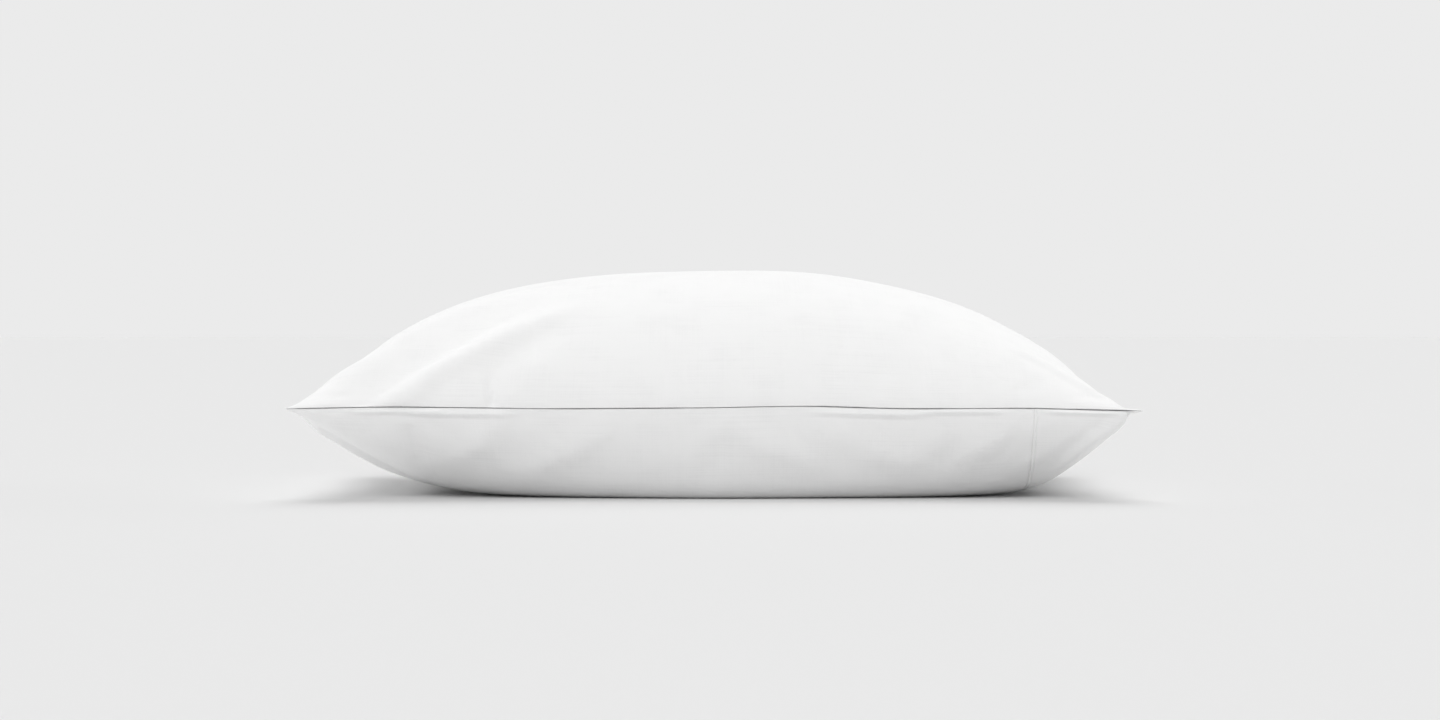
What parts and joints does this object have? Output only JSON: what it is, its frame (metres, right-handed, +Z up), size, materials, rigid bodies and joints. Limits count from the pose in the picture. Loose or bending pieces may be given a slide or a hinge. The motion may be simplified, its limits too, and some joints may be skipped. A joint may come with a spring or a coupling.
{
  "type": "pillowcase",
  "caption": "Filled rectangular pillowcase with a crowned front panel, drawn-in sides, pointed corners, a flat underside and a hemmed mouth at one end.",
  "frame": {"origin": "on the floor, under the middle of the corner-to-corner rectangle", "axes": "+X along the case towards its hemmed mouth, +Y across it, +Z up, out of the front panel"},
  "size_m": [0.73, 0.48, 0.2015],
  "materials": {
    "white_cotton": "matte plain-woven cotton, white, softly pressed"
  },
  "bodies": {
    "root": {"pillowcase": "white_cotton"}
  },
  "joints": []
}
